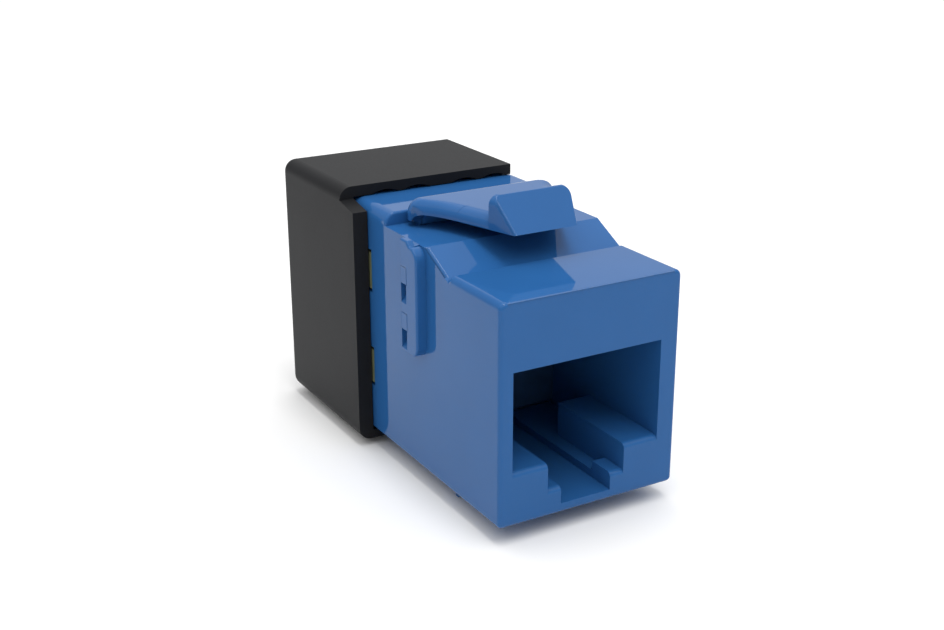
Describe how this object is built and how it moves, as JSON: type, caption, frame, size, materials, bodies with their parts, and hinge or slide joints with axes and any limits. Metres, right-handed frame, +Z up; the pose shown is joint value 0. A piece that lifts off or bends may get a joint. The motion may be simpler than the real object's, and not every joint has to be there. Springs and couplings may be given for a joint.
{
  "type": "keystone jack",
  "caption": "Snap-in modular data socket with a sprung panel latch, spring contacts, wire-piercing terminals and a push-on wire cap.",
  "frame": {"origin": "middle of the lower edge of the body's front face, which lies flush with the front of the panel opening", "axes": "+Y runs from the plug side to the cable side, +Z is up with the sprung latch on top, +X is to the right seen from the plug side"},
  "size_m": [0.0166, 0.0324, 0.0219],
  "materials": {
    "blue_plastic": "polished mould finish, blue",
    "black_plastic": "smooth mould finish, black",
    "dark_plastic": "dull mould finish, dark",
    "grey_plastic": "dull mould finish, dark grey",
    "board_laminate": "glass-fibre laminate with a sawn edge",
    "gold_plating": "gold plated, polished",
    "tin_plating": "tin plated, satin"
  },
  "bodies": {
    "housing": {"front_housing": "blue_plastic", "contact_carrier": "dark_plastic", "circuit_board": "board_laminate", "terminal_block": "grey_plastic", "idc_contact_1": "tin_plating", "idc_contact_2": "tin_plating", "idc_contact_3": "tin_plating", "idc_contact_4": "tin_plating", "idc_contact_5": "tin_plating", "idc_contact_6": "tin_plating", "idc_contact_7": "tin_plating", "idc_contact_8": "tin_plating"},
    "latch": {"snap_latch": "blue_plastic"},
    "cap": {"wire_cap": "black_plastic"},
    "contact_1": {"spring_contact_1": "gold_plating"},
    "contact_2": {"spring_contact_2": "gold_plating"},
    "contact_3": {"spring_contact_3": "gold_plating"},
    "contact_4": {"spring_contact_4": "gold_plating"},
    "contact_5": {"spring_contact_5": "gold_plating"},
    "contact_6": {"spring_contact_6": "gold_plating"},
    "contact_7": {"spring_contact_7": "gold_plating"},
    "contact_8": {"spring_contact_8": "gold_plating"}
  },
  "joints": [
    {"name": "latch_flex", "type": "hinge", "parent": "housing", "child": "latch", "pos_m": [0, 0.01545, 0.01765], "axis": [1, 0, 0], "range_deg": [0, 9], "stiffness_Nm_per_rad": 0.45},
    {"name": "cap_slide", "type": "slide", "parent": "housing", "child": "cap", "axis": [0, 1, 0], "range_m": [0, 0.011]},
    {"name": "contact_1_lift", "type": "hinge", "parent": "housing", "child": "contact_1", "pos_m": [-0.00381, 0.01845, 0.0129], "axis": [-1, 0, 0], "range_deg": [0, 7], "stiffness_Nm_per_rad": 0.08},
    {"name": "contact_2_lift", "type": "hinge", "parent": "housing", "child": "contact_2", "pos_m": [-0.00279, 0.01845, 0.0129], "axis": [-1, 0, 0], "range_deg": [0, 7], "stiffness_Nm_per_rad": 0.08},
    {"name": "contact_3_lift", "type": "hinge", "parent": "housing", "child": "contact_3", "pos_m": [-0.00177, 0.01845, 0.0129], "axis": [-1, 0, 0], "range_deg": [0, 7], "stiffness_Nm_per_rad": 0.08},
    {"name": "contact_4_lift", "type": "hinge", "parent": "housing", "child": "contact_4", "pos_m": [-0.00076, 0.01845, 0.0129], "axis": [-1, 0, 0], "range_deg": [0, 7], "stiffness_Nm_per_rad": 0.08},
    {"name": "contact_5_lift", "type": "hinge", "parent": "housing", "child": "contact_5", "pos_m": [0.00026, 0.01845, 0.0129], "axis": [-1, 0, 0], "range_deg": [0, 7], "stiffness_Nm_per_rad": 0.08},
    {"name": "contact_6_lift", "type": "hinge", "parent": "housing", "child": "contact_6", "pos_m": [0.00127, 0.01845, 0.0129], "axis": [-1, 0, 0], "range_deg": [0, 7], "stiffness_Nm_per_rad": 0.08},
    {"name": "contact_7_lift", "type": "hinge", "parent": "housing", "child": "contact_7", "pos_m": [0.00229, 0.01845, 0.0129], "axis": [-1, 0, 0], "range_deg": [0, 7], "stiffness_Nm_per_rad": 0.08},
    {"name": "contact_8_lift", "type": "hinge", "parent": "housing", "child": "contact_8", "pos_m": [0.00331, 0.01845, 0.0129], "axis": [-1, 0, 0], "range_deg": [0, 7], "stiffness_Nm_per_rad": 0.08}
  ],
  "couplings": [
    {"joint": "contact_2_lift", "follows": "contact_1_lift", "ratio": 1},
    {"joint": "contact_3_lift", "follows": "contact_1_lift", "ratio": 1},
    {"joint": "contact_4_lift", "follows": "contact_1_lift", "ratio": 1},
    {"joint": "contact_5_lift", "follows": "contact_1_lift", "ratio": 1},
    {"joint": "contact_6_lift", "follows": "contact_1_lift", "ratio": 1},
    {"joint": "contact_7_lift", "follows": "contact_1_lift", "ratio": 1},
    {"joint": "contact_8_lift", "follows": "contact_1_lift", "ratio": 1}
  ]
}
